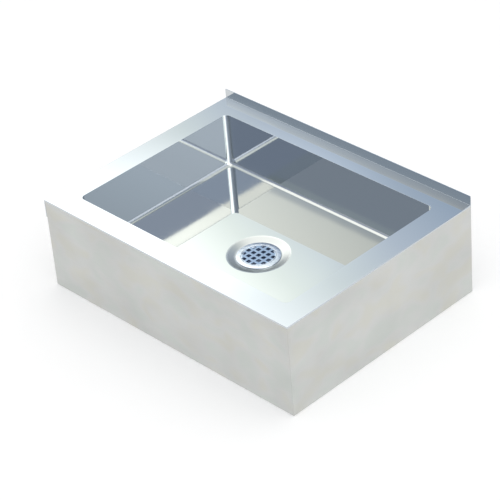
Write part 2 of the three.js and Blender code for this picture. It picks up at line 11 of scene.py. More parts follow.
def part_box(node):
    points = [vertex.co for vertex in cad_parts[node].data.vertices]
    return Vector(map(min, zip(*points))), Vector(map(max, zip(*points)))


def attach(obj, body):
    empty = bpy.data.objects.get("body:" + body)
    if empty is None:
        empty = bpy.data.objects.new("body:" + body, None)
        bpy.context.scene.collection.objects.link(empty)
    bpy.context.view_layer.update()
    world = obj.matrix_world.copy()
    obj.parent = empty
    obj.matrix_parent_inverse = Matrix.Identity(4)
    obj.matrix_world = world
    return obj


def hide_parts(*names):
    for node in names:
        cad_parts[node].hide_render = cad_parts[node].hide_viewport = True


bl_info = {
    "name": "Mop Service Sink",
    "version": (1, 0, 0),
    "blender": (4, 5, 0),
    "location": "3D View > Sidebar > Mop Sink",
    "description": "Builds a floor-standing stainless mop sink piece by piece",
    "category": "Add Mesh",
}

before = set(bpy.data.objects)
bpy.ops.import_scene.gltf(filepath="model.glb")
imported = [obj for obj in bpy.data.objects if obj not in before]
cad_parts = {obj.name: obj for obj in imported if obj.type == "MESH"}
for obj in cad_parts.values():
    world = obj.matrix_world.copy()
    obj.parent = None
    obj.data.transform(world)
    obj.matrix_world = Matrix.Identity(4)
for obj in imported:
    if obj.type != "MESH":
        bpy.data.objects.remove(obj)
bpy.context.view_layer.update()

SINK = "sink"  # the body that everything but the strainer belongs to
STRAINER = "strainer"
MM = 0.001
SEAM = 0.3 * MM  # clearance between pieces that touch
TOUCHING = 1e-6  # metres within which two points count as one

# Faces that bound the sink and its drain, read from the frame.
DECK_LOW, DECK_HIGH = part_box("deck")
LEFT, RIGHT = DECK_LOW.x, DECK_HIGH.x
FRONT, REAR = DECK_LOW.y, DECK_HIGH.y
UPSTAND_TOP = DECK_HIGH.z
SIDE_LIP_BOTTOM = DECK_LOW.z
APRON_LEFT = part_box("front_apron")[0].x
STRAINER_LOW, STRAINER_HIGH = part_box("strainer")
DRAIN_LOW, DRAIN_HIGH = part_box("drain_body")
SEAL_LOW, SEAL_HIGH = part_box("drain_seal")

# How finely round stretches are divided.
BEND_SEGMENTS = 8
COVE_SEGMENTS = 6
CORNER_SEGMENTS = 16
CROWN_STEPS = 14
TURN_STEPS = 160  # a full turn of the drain, the strainer and the bowl's recess
RING_STEPS = 96  # a full turn of the smaller rings


# -------- sizes and colours


def size(name, description, millimetres):
    return FloatProperty(
        name=name, description=description, default=millimetres * MM,
        min=0.0, unit="LENGTH", subtype="DISTANCE", precision=4,
    )


def linear(code):
    """An sRGB hex colour as linear red, green, blue and alpha."""
    channels = [int(code[i:i + 2], 16) / 255 for i in (1, 3, 5)]
    bent = [c / 12.92 if c <= 0.04045 else ((c + 0.055) / 1.055) ** 2.4 for c in channels]
    return (*bent, 1.0)


def colour(name, description, code):
    return FloatVectorProperty(
        name=name, description=description, default=linear(code),
        size=4, min=0.0, max=1.0, subtype="COLOR",
    )


class SheetSizes(bpy.types.PropertyGroup):
    """Sizes of the bent sheets."""

    sheet: size("Sheet", "Thickness of the stainless sheet", 1.5)
    upstand: size("Upstand", "Height of the upstand above the rim", 25.4)
    rim: size("Rim width", "Flat rim round the bowl opening", 63.5)
    deck_bend: size("Rim bend", "Outer radius of the rim's turned-down edges", 1.7)
    opening_edge: size("Opening edge", "Rounding of the edge turned into the bowl", 0.2)
    edge_drop: size("Edge drop", "How far the front and right edges turn down", 4)
    upstand_bend: size("Upstand bend", "Inner radius at the foot of the upstand", 0.3)
    upstand_corner: size("Upstand corner", "Rounded top corners of the upstand", 4)
    opening_drop: size("Opening drop", "Depth of the edge turned into the bowl", 8)
    apron_bend: size("Apron bend", "Outer radius at the foot of an apron", 2.5)
    apron_foot: size("Apron foot", "Foot turned in under an apron", 21.5)
    angle_width: size("Angle width", "Each leg of a corner angle", 25)
    support_top: size("Support top", "Width of a support's top", 40)
    support_draft: size("Support draft", "How far a support's sides lean out", 6)


class BowlSizes(bpy.types.PropertyGroup):
    """Sizes of the bowl and its stamped recess."""

    depth: size("Bowl depth", "Rim to the bowl floor", 152.4)
    corner: size("Corner radius", "Upright corners of the bowl", 15)
    cove: size("Cove width", "Cove between the walls and the floor", 8)
    cove_bend: size("Cove bend", "Tight bends at the cove's upper and lower edge", 1.5)
    recess: size("Recess radius", "Stamped round recess at the drain", 79)
    seat: size("Seat radius", "Flat seat in the middle of the recess", 60)
    recess_depth: size("Recess depth", "Bowl floor down to the drain's seat", 6)
    recess_bend: size("Recess bend", "Rounding at the recess's rim and seat", 3)


class DrainSizes(bpy.types.PropertyGroup):
    """Sizes of the drain and its strainer."""

    flange_edge: size("Flange edge", "Thickness of the flange at its outer edge", 0.7)
    wall: size("Cup wall", "Wall of the drain's cup", 2.2)
    play: size("Strainer play", "Clearance round the strainer", 0.5)
    ledge: size("Ledge", "Metal round and under the strainer's ledge", 1.6)
    cup_step: size("Cup step", "How far the cup steps in under the ledge", 3.4)
    cup_depth: size("Cup depth", "Ledge down to the cup's floor", 36)
    cup_fall: size("Cup fall", "Slope of the cup's floor", 6)
    outlet_wall: size("Outlet wall", "Threaded wall of the outlet", 5)
    tube: size("Tube radius", "Outer radius of the waste tube", 19.05)
    hole_border: size("Hole border", "Solid edge of the strainer round its holes", 1.5)
    hole_pitch: size("Hole pitch", "Square grid of the strainer's holes", 17.3)
    hole_size: size("Hole size", "Side of a square hole", 10.6)
    hole_corner: size("Hole corner", "Rounded corners of a hole", 1.6)
    hole_rows: IntProperty(
        name="Hole rows", description="Rows of the grid, which has no corner holes",
        default=5, min=3, max=9,
    )
    thread_pitch: size("Thread pitch", "Pitch of the threads on cup and outlet", 2.3)


class SinkColours(bpy.types.PropertyGroup):
    """Colours of the finishes."""

    polished: colour("Polished steel", "Rim and bowl", "#CBD0D3")
    satin: colour("Satin steel", "Aprons", "#CACBC9")
    mill: colour("Mill steel", "Angles and supports", "#A6A8A8")
    drain: colour("Drain steel", "Drain and waste tube", "#CBD2DA")
    # The strainer's dark blue grey is a painted reflection, darker and bluer than the steel's own
    # grey.
    strainer: colour("Strainer steel", "Strainer's bars", "#8FA1B9")
    brass: colour("Brass", "Drain nuts", "#B08F55")
    rubber: colour("Rubber", "Gasket and washer", "#1B1B1D")
    pad: colour("Damping pad", "Pads under the bowl", "#2A2A2C")
    fibre: colour("Fibre", "Friction washer", "#6B3A2B")
    sealant: colour("Sealant", "Ring under the flange", "#7E807E")
    floor: colour("Floor", "Studio floor", "#F4F4F4")


def sheets():
    return bpy.context.scene.mop_sink_sheets


def bowl_sizes():
    return bpy.context.scene.mop_sink_bowl


def drain_sizes():
    return bpy.context.scene.mop_sink_drain


def colours():
    return bpy.context.scene.mop_sink_colours


def opening():
    """Half the length and half the width of the bowl's opening."""
    rim = sheets().rim
    return (RIGHT - LEFT) / 2 - rim, (REAR - FRONT) / 2 - rim


def levels():
    """Heights of the rim's flat and of the bowl's floor."""
    rim_top = UPSTAND_TOP - sheets().upstand
    return rim_top, rim_top - bowl_sizes().depth


def cup_radii():
    """Outer radii of the strainer's ledge and of the threaded cup below it."""
    d = drain_sizes()
    shoulder = STRAINER_HIGH.x + d.play + d.ledge
    return shoulder, shoulder - d.cup_step


# -------- materials


def feed(tree, node, inputs):
    """Sets a node's inputs, or links them where the source is a node or a socket.

    A dictionary names or numbers the inputs. A tuple gives the first ones in their order: for
    a MapRange the value, the two ends it runs between, and what it becomes at each.
    """
    for key, source in inputs.items() if isinstance(inputs, dict) else enumerate(inputs):
        socket = node.inputs[key] if isinstance(key, int) else next(
            s for s in node.inputs if s.enabled and s.name == key
        )
        if isinstance(source, bpy.types.Node):
            source = next(s for s in source.outputs if s.enabled)
        if isinstance(source, bpy.types.NodeSocket):
            tree.links.new(source, socket)
        else:
            socket.default_value = source


def add(tree, kind, inputs=(), stops=(), **settings):
    """Adds a shader node with its settings, inputs and, on a ramp, its colour stops."""
    node = tree.nodes.new(f"ShaderNode{kind}")
    for key, value in settings.items():
        setattr(node, key, value)
    feed(tree, node, inputs)
    if stops:
        elements = node.color_ramp.elements
        while len(elements) < len(stops):
            elements.new(0.5)
        for element, (position, tone) in zip(elements, stops):
            element.position = position
            element.color = (*tone[:3], 1)
    return node


def new_material(name, tint, metallic, roughness, surface=None):
    """A material with plain values, which its surface then varies over the piece."""
    material = bpy.data.materials.new(name)
    material.use_nodes = True
    material.diffuse_color = tint
    tree = material.node_tree
    shader = tree.nodes["Principled BSDF"]
    feed(tree, shader, {"Base Color": tint, "Metallic": metallic, "Roughness": roughness})
    if surface:
        at = add(tree, "TexCoord").outputs["Object"]  # the piece's own metres
        feed(tree, shader, surface(tree, at, tint))
    return material


def axis_distance(tree, at):
    """How far a place is from the drain's axis."""
    split = add(tree, "SeparateXYZ", (at,))
    flat = add(tree, "CombineXYZ", (split.outputs["X"], split.outputs["Y"]))
    return add(tree, "VectorMath", (flat,), operation="LENGTH")


def streaks(tree, at, sizes, detail):
    """Noise drawn out along the axes, its marks as long as the given millimetres."""
    scale = [1 / (length * MM) for length in sizes]
    drawn = add(tree, "Mapping", {"Vector": at, "Scale": scale})
    return add(tree, "TexNoise", {"Vector": drawn, "Scale": 1.0, "Detail": detail})


def worked(tree, pattern, smooth, rough, strength, depth, relief=None):
    """A worked metal's roughness and bumps. Both follow one pattern, or bumps their own relief."""
    return {
        "Roughness": add(tree, "MapRange", (pattern, 0.3, 0.7, smooth, rough)),
        "Normal": add(tree, "Bump", {
            "Height": relief or pattern, "Strength": strength, "Distance": depth * MM,
        }),
    }


def polished_sheet(tree, at, tint):
    """Buffed sheet: a clear mirror, barely wavy, with hairline polishing marks.

    Real hairlines are a few hundredths of a millimetre wide. They are drawn 0.7 mm wide to show.
    """
    wave = add(tree, "TexNoise", {"Vector": at, "Scale": 1 / (160 * MM), "Detail": 1.0})
    hairlines = streaks(tree, at, (50, 0.7, 0.7), 2.0)
    smear = add(tree, "TexNoise", {"Vector": at, "Scale": 1 / (70 * MM), "Detail": 3.0})
    mixed = add(tree, "Mix", {"Factor": 0.35, "A": smear, "B": hairlines})
    look = worked(tree, mixed, 0.012, 0.03, 0.012, 4, wave)

    # How far inside the bowl's corners a place is, from the corners' middles outwards.
    b = bowl_sizes()
    split = add(tree, "SeparateXYZ", (at,))
    inwards = []
    for axis, reach in enumerate(opening()):
        away = add(tree, "Math", (split.outputs[axis],), operation="ABSOLUTE")
        inwards.append(add(tree, "Math", (away, reach - b.corner), operation="SUBTRACT"))
    column = add(tree, "Math", inwards, operation="MINIMUM")

    # Masks that go from 0 to 1 between two places.
    z = split.outputs["Z"]
    rim_top, floor = levels()
    cove_top = floor + b.cove
    recess, cornered, off_floor, under_wall, above_cove = (
        add(tree, "MapRange", value_and_ends) for value_and_ends in (
            (axis_distance(tree, at), b.recess + 4 * MM, b.recess - 1 * MM),
            (column, 0.0, 1 * MM),
            (z, floor + 0.1 * MM, floor + 0.4 * MM),
            (z, cove_top + 0.9 * MM, cove_top - 0.1 * MM),
            (z, floor + 1.4 * MM, cove_top + 2.4 * MM),
        )
    )
    under_rim = add(tree, "Math", (z, rim_top - 0.4 * MM), operation="LESS_THAN")
    upright = add(tree, "Math", (cornered, under_rim), operation="MULTIPLY")
    coved = add(tree, "Math", (under_wall, off_floor), operation="MULTIPLY")
    # The stamped recess round the drain is duller. The bowl's upright corners and coves were
    # blended by hand, and are softer than its walls.
    for mask, rough in ((recess, 0.3), (upright, 0.11), (coved, 0.15)):
        look["Roughness"] = add(tree, "Mix", {"Factor": mask, "A": look["Roughness"], "B": rough})
    # The bowl's floor is tinted warmer than the rim, a painted warm cast on what it reflects.
    painted_warm_cast = (tint[0] * 0.985, tint[1] * 0.965, tint[2] * 0.90, 1.0)
    tone = add(tree, "Mix", {"Factor": above_cove, "A": painted_warm_cast, "B": tint}, data_type="RGBA")
    return {"Base Color": tone, **look}


def satin_sheet(tree, at, tint):
    """Dull rolled sheet: fine level grain and pale cloudy patches a hand wide.

    The real grain is about a tenth of a millimetre. It is drawn 0.6 mm high to show.
    """
    lean = add(tree, "Mapping", {"Vector": at, "Rotation": (0.15, 0.3, 0.1), "Scale": (1.0, 1.0, 1.5)})
    cloud = add(tree, "TexNoise", {
        "Vector": lean, "Scale": 1 / (150 * MM), "Detail": 2.0, "Roughness": 0.4, "Distortion": 0.3,
    })
    warmth = add(tree, "TexNoise", {
        "Vector": lean, "Scale": 1 / (80 * MM), "Detail": 1.0, "Distortion": 0.3,
    })
    # Patches a shade darker and lighter than the sheet, then a breath of yellow or green.
    shade = add(tree, "ValToRGB", (cloud,), stops=(
        (0.32, [c * 0.95 for c in tint]), (0.66, [c * 1.03 for c in tint]),
    ))
    tone = add(tree, "ValToRGB", (warmth,), stops=(
        (0.34, (1.0, 0.99, 0.94)), (0.5, (1.0, 1.0, 1.0)), (0.66, (0.96, 0.99, 0.97)),
    ))
    tinted = add(
        tree, "Mix", {"Factor": 1.0, "A": shade, "B": tone},
        data_type="RGBA", blend_type="MULTIPLY",
    )
    grain = streaks(tree, at, (30, 30, 0.6), 2.0)
    return {"Base Color": tinted, **worked(tree, grain, 0.36, 0.46, 0.06, 0.2)}


def mill_sheet(tree, at, tint):
    """Sheet as it leaves the mill: grey, dull, with faint long rolling streaks.

    Real streaks are finer than a millimetre. They are drawn 4 mm wide to show.
    """
    return worked(tree, streaks(tree, at, (4, 150, 4), 3.0), 0.42, 0.58, 0.1, 0.2)


def turned_steel(tree, at, tint):
    """Turned and buffed drain steel: bright, with faint lathe rings, pulled a little
    uneven where it was pressed, and dull inside the cup, where a painted pale blue stands in for the
    light reflected in it.

    Real lathe rings are about a tenth of a millimetre apart. They are drawn 0.6 mm wide to show.
    """
    rings = add(
        tree, "TexNoise",
        {"W": axis_distance(tree, at), "Scale": 1 / (0.6 * MM), "Detail": 2.0},
        noise_dimensions="1D",
    )
    look = worked(tree, rings, 0.12, 0.2, 0.04, 0.2)
    pulled = add(tree, "TexNoise", {"Vector": at, "Scale": 1 / (11 * MM), "Detail": 1.0})
    height = add(tree, "SeparateXYZ", (at,)).outputs["Z"]
    # Below the strainer the cup turns a painted pale blue, a painted reflection of the light inside
    # the cup.
    inside = add(tree, "MapRange", (height, STRAINER_LOW.z - 0.5 * MM, STRAINER_LOW.z - 3.5 * MM))
    blue = linear("#ADBACD")
    return {
        "Base Color": add(tree, "Mix", {"Factor": inside, "A": tint, "B": blue}, data_type="RGBA"),
        "Roughness": add(tree, "Mix", {"Factor": inside, "A": look["Roughness"], "B": 0.5}),
        "Normal": add(tree, "Bump", {
            "Height": pulled, "Normal": look["Normal"], "Strength": 0.35, "Distance": 1 * MM,
        }),
    }


def pressed_plate(tree, at, tint):
    """Pressed strainer plate: bars in a painted dark blue grey reflection, inside an edge painted
    lighter as a painted highlight.
    """
    field = STRAINER_HIGH.x - drain_sizes().hole_border
    edge = add(tree, "MapRange", (axis_distance(tree, at), field - 2.75 * MM, field + 0.25 * MM))
    # The solid edge round the holes is painted lighter, a painted highlight.
    painted_highlight_edge = add(tree, "ValToRGB", (edge,), stops=((0.0, tint), (1.0, linear("#CDD6E0"))))
    rubbed = add(tree, "TexNoise", {"Vector": at, "Scale": 1 / (9 * MM), "Detail": 3.0})
    return {"Base Color": painted_highlight_edge, **worked(tree, rubbed, 0.08, 0.22, 0.2, 0.6)}


def cast_brass(tree, at, tint):
    """Cast and part-turned brass: dull yellow, tarnished in patches, with the sand's grain."""
    patch = add(tree, "TexNoise", {"Vector": at, "Scale": 1 / (12 * MM), "Detail": 4.0})
    sand = add(tree, "TexNoise", {"Vector": at, "Scale": 1 / (0.8 * MM), "Detail": 2.0})
    return {
        "Base Color": add(tree, "ValToRGB", (patch,), stops=((0.35, linear("#8A6A3C")), (0.6, tint))),
        "Normal": add(tree, "Bump", {"Height": sand, "Strength": 0.2, "Distance": 0.2 * MM}),
    }


def speckled(grain, depth, pale):
    """A moulded or pressed soft material: pale specks and grit, their sizes in millimetres."""
    def surface(tree, at, tint):
        grit = add(tree, "TexNoise", {"Vector": at, "Scale": 1 / (grain * MM), "Detail": 3.0})
        return {
            "Base Color": add(tree, "ValToRGB", (grit,), stops=((0.4, tint), (0.72, linear(pale)))),
            "Normal": add(tree, "Bump", {"Height": grit, "Strength": 0.3, "Distance": depth * MM}),
        }
    return surface


# Each finish: the material's name, its colour, how metallic and how rough it is, its surface.
FINISHES = {
    "polished_stainless": ("buffed stainless sheet", "polished", 1.0, 0.05, polished_sheet),
    "satin_stainless": ("dull rolled stainless sheet", "satin", 1.0, 0.4, satin_sheet),
    "mill_stainless": ("mill-finish stainless sheet", "mill", 1.0, 0.5, mill_sheet),
    "drain_steel": ("turned and buffed stainless", "drain", 1.0, 0.08, turned_steel),
    "strainer_plate": ("pressed strainer stainless", "strainer", 1.0, 0.12, pressed_plate),
    "plated_brass": ("cast brass", "brass", 1.0, 0.38, cast_brass),
    "gasket_rubber": ("moulded rubber", "rubber", 0.0, 0.6, speckled(1, 0.1, "#2B2B2D")),
    "damping_pad": ("pressed bitumen pad", "pad", 0.0, 0.8, speckled(3, 0.4, "#3D3D3F")),
    "fibre": ("vulcanised fibre", "fibre", 0.0, 0.7, speckled(1.5, 0.1, "#85513D")),
    "sealant": ("sealing compound", "sealant", 0.0, 0.75, speckled(4, 0.2, "#8E908D")),
}


def finish_for(key):
    """The material of a finish, made once."""
    name, tint, *rest = FINISHES[key]
    found = bpy.data.materials.get(name)
    return found or new_material(name, tuple(getattr(colours(), tint)), *rest)


# -------- modelling helpers


def bevel(bm, geom, offset, segments, affect="VERTICES", clamp=True):
    """Rounds corners or edges."""
    bmesh.ops.bevel(
        bm, geom=geom, offset=offset, offset_type="OFFSET", segments=segments,
        profile=0.5, affect=affect, material=-1, clamp_overlap=clamp,
    )


def turn_round(bm, edges, steps):
    """Turns a line of edges a full turn about the drain's axis."""
    verts = list(dict.fromkeys(v for e in edges for v in e.verts))
    bmesh.ops.spin(
        bm, geom=verts + edges, cent=(0, 0, 0), axis=(0, 0, 1), dvec=(0, 0, 0),
        angle=2 * pi, steps=steps, use_merge=True, use_duplicate=False,
    )


def thicken(bm, run):
    """Extrudes all faces along a vector to a closed body."""
    made = bmesh.ops.extrude_face_region(bm, geom=bm.faces[:])["geom"]
    bmesh.ops.translate(bm, vec=run, verts=[g for g in made if isinstance(g, bmesh.types.BMVert)])


def flat_sheet(low, high, z):
    """A new mesh with one level rectangle."""
    bm = bmesh.new()
    plan = ((low[0], low[1]), (high[0], low[1]), (high[0], high[1]), (low[0], high[1]))
    bm.faces.new([bm.verts.new((x, y, z)) for x, y in plan])
    return bm


def rounded_rectangle(bm, half_x, half_y, radius, z):
    """The outline of a rectangle with round corners, as edges in a new mesh."""
    corners = [(half_x, half_y), (-half_x, half_y), (-half_x, -half_y), (half_x, -half_y)]
    face = bm.faces.new([bm.verts.new((x, y, z)) for x, y in corners])
    bevel(bm, face.verts[:], radius, CORNER_SEGMENTS, clamp=False)
    edges = [e for e in bm.edges if e.is_boundary]
    bmesh.ops.delete(bm, geom=bm.faces[:], context="FACES_ONLY")
    return edges


def pull_loop(bm, edges, move):
    """Extrudes a chain of edges and moves each new vertex; returns the new chain."""
    made = bmesh.ops.extrude_edge_only(bm, edges=edges)["geom"]
    for vert in (g for g in made if isinstance(g, bmesh.types.BMVert)):
        vert.co = move(vert.co)
    return [g for g in made if isinstance(g, bmesh.types.BMEdge)]


def quarter(radius, segments):
    """(run, drop) along a quarter bend of a radius, from level to upright."""
    return [
        (radius * sin(i * pi / 2 / segments), radius * (1 - cos(i * pi / 2 / segments)))
        for i in range(1, segments + 1)
    ]


def cove_line(width, bend, segments):
    """(run, rise) from the bowl's floor to its wall: a wide arc between two tight bends."""
    first, last = radians(26), radians(64)
    wide = (width - bend * (sin(first) + 1 - sin(last))) / (sin(last) - sin(first))
    points = [(0.0, 0.0)]
    for low, high, radius in ((0, first, bend), (first, last, wide), (last, pi / 2, bend)):
        run, rise = points[-1]
        for i in range(1, segments + 1):
            turn = low + (high - low) * i / segments
            points.append((
                run + radius * (sin(turn) - sin(low)), rise + radius * (cos(low) - cos(turn)),
            ))
    return points


def about_corners(half_x, half_y, radius, offset, z):
    """Moves a rounded rectangle's points out by an offset from their corner's middle."""
    def move(co):
        cx = (half_x - radius) * (1 if co.x > 0 else -1)
        cy = (half_y - radius) * (1 if co.y > 0 else -1)
        away = Vector((co.x - cx, co.y - cy)).normalized() * (radius + offset)
        return Vector((cx + away.x, cy + away.y, z))
    return move


def spun(section, rounding, segments=3, steps=RING_STEPS):
    """A new mesh of a closed section of (radius, z) points turned about the drain's axis."""
    bm = bmesh.new()
    face = bm.faces.new([bm.verts.new((r, 0.0, z)) for r, z in section])
    bevel(bm, face.verts[:], rounding, segments)
    face = max(bm.faces, key=lambda f: (len(f.verts), f.index))
    edges = [e for e in bm.edges if e.is_boundary and face in e.link_faces]
    bmesh.ops.delete(bm, geom=[face], context="FACES_ONLY")
    turn_round(bm, edges, steps)
    return bm


def section_run(points, roundings, run):
    """A new mesh of a closed section, with bends rounded by their numbers, run along a vector."""
    bm = bmesh.new()
    verts = [bm.verts.new(p) for p in points]
    bm.faces.new(verts)
    for index, radius in roundings.items():
        bevel(bm, [verts[index]], radius, BEND_SEGMENTS, clamp=False)
    thicken(bm, run)
    return bm


def trim(bm, point, normal):
    """Cuts away what lies past a plane and closes the cut."""
    cut = bmesh.ops.bisect_plane(
        bm, geom=bm.verts[:] + bm.edges[:] + bm.faces[:], dist=1e-7,
        plane_co=point, plane_no=normal, clear_outer=True,
    )["geom_cut"]
    bmesh.ops.holes_fill(bm, edges=[g for g in cut if isinstance(g, bmesh.types.BMEdge)], sides=0)


def soften(bm, amount, segments=2):
    """Breaks the sharp outer edges of a closed body."""
    bmesh.ops.recalc_face_normals(bm, faces=bm.faces[:])
    limit = radians(40)
    edges = [e for e in bm.edges if len(e.link_faces) == 2 and e.calc_face_angle() > limit]
    bevel(bm, edges, amount, segments, "EDGES")


def face_up(bm, point):
    """Turns a skin so that its face nearest a point looks up."""
    bmesh.ops.recalc_face_normals(bm, faces=bm.faces[:])
    near = min(bm.faces, key=lambda f: (f.calc_center_median() - point).length)
    if near.normal.z < 0:
        bmesh.ops.reverse_faces(bm, faces=bm.faces[:])


def add_object(bm, name):
    """The object of a finished mesh, at the origin."""
    mesh = bpy.data.meshes.new(name)
    bm.to_mesh(mesh)
    bm.free()
    made = bpy.data.objects.new(name, mesh)
    bpy.context.collection.objects.link(made)
    return made


def give_wall(piece, sheet):
    """Gives a skin its sheet's thickness, inwards from the faces that show."""
    shell = piece.modifiers.new("sheet", "SOLIDIFY")
    shell.thickness = sheet
    shell.offset = -1
    shell.use_even_offset = True
    shell.use_quality_normals = True
    bpy.context.view_layer.update()
    posed = piece.evaluated_get(bpy.context.evaluated_depsgraph_get())
    thick = bpy.data.meshes.new_from_object(posed)
    thick.name = piece.name
    piece.modifiers.clear()
    piece.data = thick


def round_off(mesh, amount, chosen):
    """Rounds the edges of a mesh that a test picks."""
    bm = bmesh.new()
    bm.from_mesh(mesh)
    bevel(bm, [e for e in bm.edges if chosen(e)], amount, 4, "EDGES")
    bm.to_mesh(mesh)
    bm.free()


def finish_piece(bm, name, node, slot, body=SINK, finish=None, sheet=0.0, rounding=None, sharp=35):
    """Makes the object of a finished mesh, hangs it on its body and hides the part it stands for."""
    if not sheet:
        bmesh.ops.remove_doubles(bm, verts=bm.verts[:], dist=TOUCHING)
        bmesh.ops.recalc_face_normals(bm, faces=bm.faces[:])
    piece = add_object(bm, name)
    if sheet:
        give_wall(piece, sheet)
    if rounding:
        round_off(piece.data, *rounding)
    piece.data.shade_smooth()
    piece.data.set_sharp_from_angle(angle=radians(sharp))
    piece.data.materials.clear()
    piece.data.materials.append(finish_for(finish or slot))
    weighted = piece.modifiers.new("flat faces stay flat", "WEIGHTED_NORMAL")
    weighted.keep_sharp = True
    weighted.weight = 100
    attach(piece, body)
    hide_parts(node)


# -------- rim and bowl


class MOPSINK_OT_rim(bpy.types.Operator):
    """Rim sheet with its turned edges, folded left lip, upstand and bowl opening"""

    bl_idname = "mop_sink.rim"
    bl_label = "Rim and upstand"

    def execute(self, context):
        s = sheets()
        top = levels()[0]
        bend = s.deck_bend
        rear_line = REAR - s.upstand_bend - s.sheet
        half_x, half_y = opening()
        corner = bowl_sizes().corner

        bm = bmesh.new()
        # The opening: a strip of the flat, then the edge goes down into the bowl.
        strip = 2 * MM
        flat_hole = rounded_rectangle(bm, half_x + strip, half_y + strip, corner + strip, top)
        chain = pull_loop(bm, flat_hole, about_corners(half_x, half_y, corner, 0, top))
        pull_loop(bm, chain, about_corners(half_x, half_y, corner, 0, top - s.opening_drop))

        # The flat of the rim, inset from the edges by their bends.
        x0, x1, y0 = LEFT + bend, RIGHT - bend, FRONT + bend
        points = [(x0, y0, top), (x1, y0, top), (x1, rear_line, top), (x0, rear_line, top)]
        verts = [bm.verts.new(p) for p in points]
        outer = [bm.edges.new(pair) for pair in zip(verts, verts[1:] + verts[:1])]
        bmesh.ops.triangle_fill(bm, edges=flat_hole + outer, use_beauty=True, normal=(0, 0, 1))
        front_edge, right_edge, rear_edge, left_edge = outer

        # Left, front and right edges turn down together, mitred at the corners. Past the bend
        # the left one runs back to the wall, and the right one to the upstand's sheet.
        def turned_down(run, drop, straight):
            def move(co):
                x = LEFT + bend - run if co.x < 0 else RIGHT - bend + run
                y = co.y
                if co.y < 0:
                    y = FRONT + bend - run
                elif straight:
                    y = REAR if co.x < 0 else REAR - s.sheet - SEAM
                return Vector((x, y, top - drop))
            return move

        chain = [left_edge, front_edge, right_edge]
        for run, drop in quarter(bend, BEND_SEGMENTS):
            chain = pull_loop(bm, chain, turned_down(run, drop, False))
        for drop in (bend + 0.4 * MM, s.edge_drop):
            chain = pull_loop(bm, chain, turned_down(bend, drop, True))
        lip = [e for e in chain if all(v.co.x < LEFT + MM for v in e.verts)]

        # The left edge goes on down and folds back up inside itself.
        fold = s.sheet + 0.02 * MM
        bottom = SIDE_LIP_BOTTOM + fold
        path = [(LEFT, bottom)]
        for i in range(1, BEND_SEGMENTS + 1):
            turn = pi * i / BEND_SEGMENTS
            path.append((LEFT + fold - fold * cos(turn), bottom - fold * sin(turn)))
        path.append((LEFT + 2 * fold, top - s.edge_drop))
        for x, z in path:
            lip = pull_loop(bm, lip, lambda co, x=x, z=z: Vector((x, co.y, z)))

        # The upstand rises from the rear edge, with a narrow strip past each end.
        chain = [rear_edge]
        for vert, x in ((verts[3], LEFT), (verts[2], RIGHT)):
            chain.append(bm.edges.new((vert, bm.verts.new((x, rear_line, top)))))
        path = [(rear_line + run, top + rise) for run, rise in quarter(s.upstand_bend, BEND_SEGMENTS)]
        for y, z in (*path, (path[-1][0], UPSTAND_TOP)):
            chain = pull_loop(bm, chain, lambda co, y=y, z=z: Vector((co.x, y, z)))
        tips = [v for e in chain for v in e.verts if abs(abs(v.co.x) - RIGHT) < TOUCHING]
        bevel(bm, list(dict.fromkeys(tips)), s.upstand_corner, BEND_SEGMENTS, clamp=False)
        face_up(bm, Vector((LEFT + s.rim / 2, 0, top)))

        def at_opening(edge):
            near = 0.01 * MM
            return all(
                abs(v.co.z - top) < near and abs(v.co.x) < half_x + near
                and abs(v.co.y) < half_y + near for v in edge.verts
            )

        finish_piece(
            bm, "rim_sheet", "deck", "polished_stainless", sheet=s.sheet,
            rounding=(s.opening_edge, at_opening),
        )
        return {"FINISHED"}


class MOPSINK_OT_bowl(bpy.types.Operator):
    """Coved bowl with its stamped recess for the drain"""

    bl_idname = "mop_sink.bowl"
    bl_label = "Bowl"

    def execute(self, context):
        s = sheets()
        b = bowl_sizes()
        half_x, half_y = opening()
        rim_top, floor = levels()
        top = rim_top - s.opening_drop - 0.05 * MM
        seat = floor - b.recess_depth
        hole = cup_radii()[0] + SEAM

        bm = bmesh.new()
        chain = rounded_rectangle(bm, half_x, half_y, b.corner, top)
        for run, rise in reversed(cove_line(b.cove, b.cove_bend, COVE_SEGMENTS)):
            move = about_corners(half_x, half_y, b.corner, run - b.cove, floor + rise)
            chain = pull_loop(bm, chain, move)

        # The recess's section, its bends rounded, turned about the drain's axis.
        reach = b.recess + 2 * b.recess_bend
        section = [(reach, floor), (b.recess, floor), (b.seat, seat), (hole, seat)]
        verts = [bm.verts.new((r, 0, z)) for r, z in section]
        lines = [bm.edges.new(pair) for pair in zip(verts, verts[1:])]
        bevel(bm, verts[1:3] + lines, b.recess_bend, BEND_SEGMENTS)
        turn_round(bm, [e for e in bm.edges if not e.link_faces], TURN_STEPS)
        circle = [
            e for e in bm.edges if e.is_boundary
            and all(abs(hypot(v.co.x, v.co.y) - reach) < 0.01 * MM for v in e.verts)
        ]
        bmesh.ops.triangle_fill(bm, edges=chain + circle, use_beauty=True, normal=(0, 0, 1))
        face_up(bm, Vector((0, 0, seat)))
        finish_piece(bm, "bowl_sheet", "bowl", "polished_stainless", sheet=s.sheet)
        return {"FINISHED"}


# -------- aprons and what is behind them


